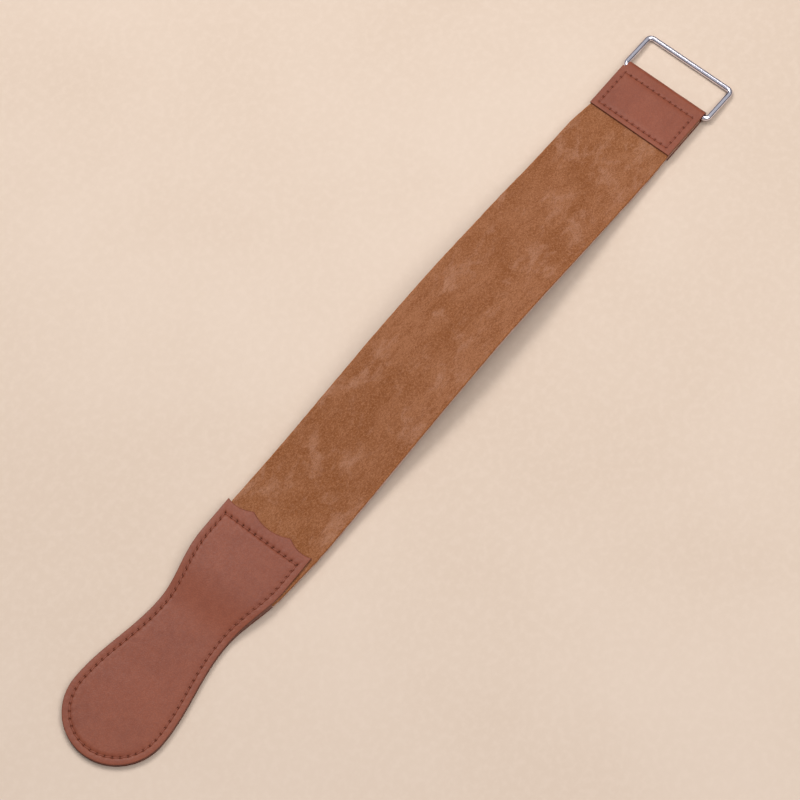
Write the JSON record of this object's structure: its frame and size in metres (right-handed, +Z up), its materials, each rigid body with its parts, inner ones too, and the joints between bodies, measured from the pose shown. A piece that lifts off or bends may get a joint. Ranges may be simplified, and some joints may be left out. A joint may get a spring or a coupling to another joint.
{
  "type": "leather strop",
  "caption": "Hanging leather strop for honing blades: suede upper strop over a smooth strop, stitched paddle grip at one end, folded tab with a swinging rectangular wire ring at the other.",
  "frame": {"origin": "on the surface the strop lies on, under the middle of its length and width", "axes": "+X along the strop from the grip to the hanger ring, +Y across it to the left when looking along +X, +Z up through the suede face"},
  "size_m": [0.4639, 0.0552, 0.0137],
  "materials": {
    "suede": "suede, brushed nap, tan brown",
    "strop_leather": "smooth grain, satin, pinkish brown",
    "cover_leather": "fine grain, satin, reddish brown",
    "thread": "waxed, dark reddish brown",
    "stiffener_board": "matte",
    "ring_metal": "polished"
  },
  "bodies": {
    "strop": {"suede_strop": "suede", "smooth_strop": "strop_leather", "grip_front_cover": "cover_leather", "grip_back_cover": "cover_leather", "grip_core": "stiffener_board", "grip_needle_thread": "thread", "grip_bobbin_thread": "thread", "ring_tab": "cover_leather", "tab_needle_thread": "thread", "tab_bobbin_thread": "thread"},
    "ring": {"hanger_ring": "ring_metal"}
  },
  "joints": [
    {"name": "ring_swing", "type": "hinge", "parent": "strop", "child": "ring", "pos_m": [0.20862, -0.00052, 0.0029], "axis": [0, -1, 0], "range_deg": [-85, 90]}
  ]
}
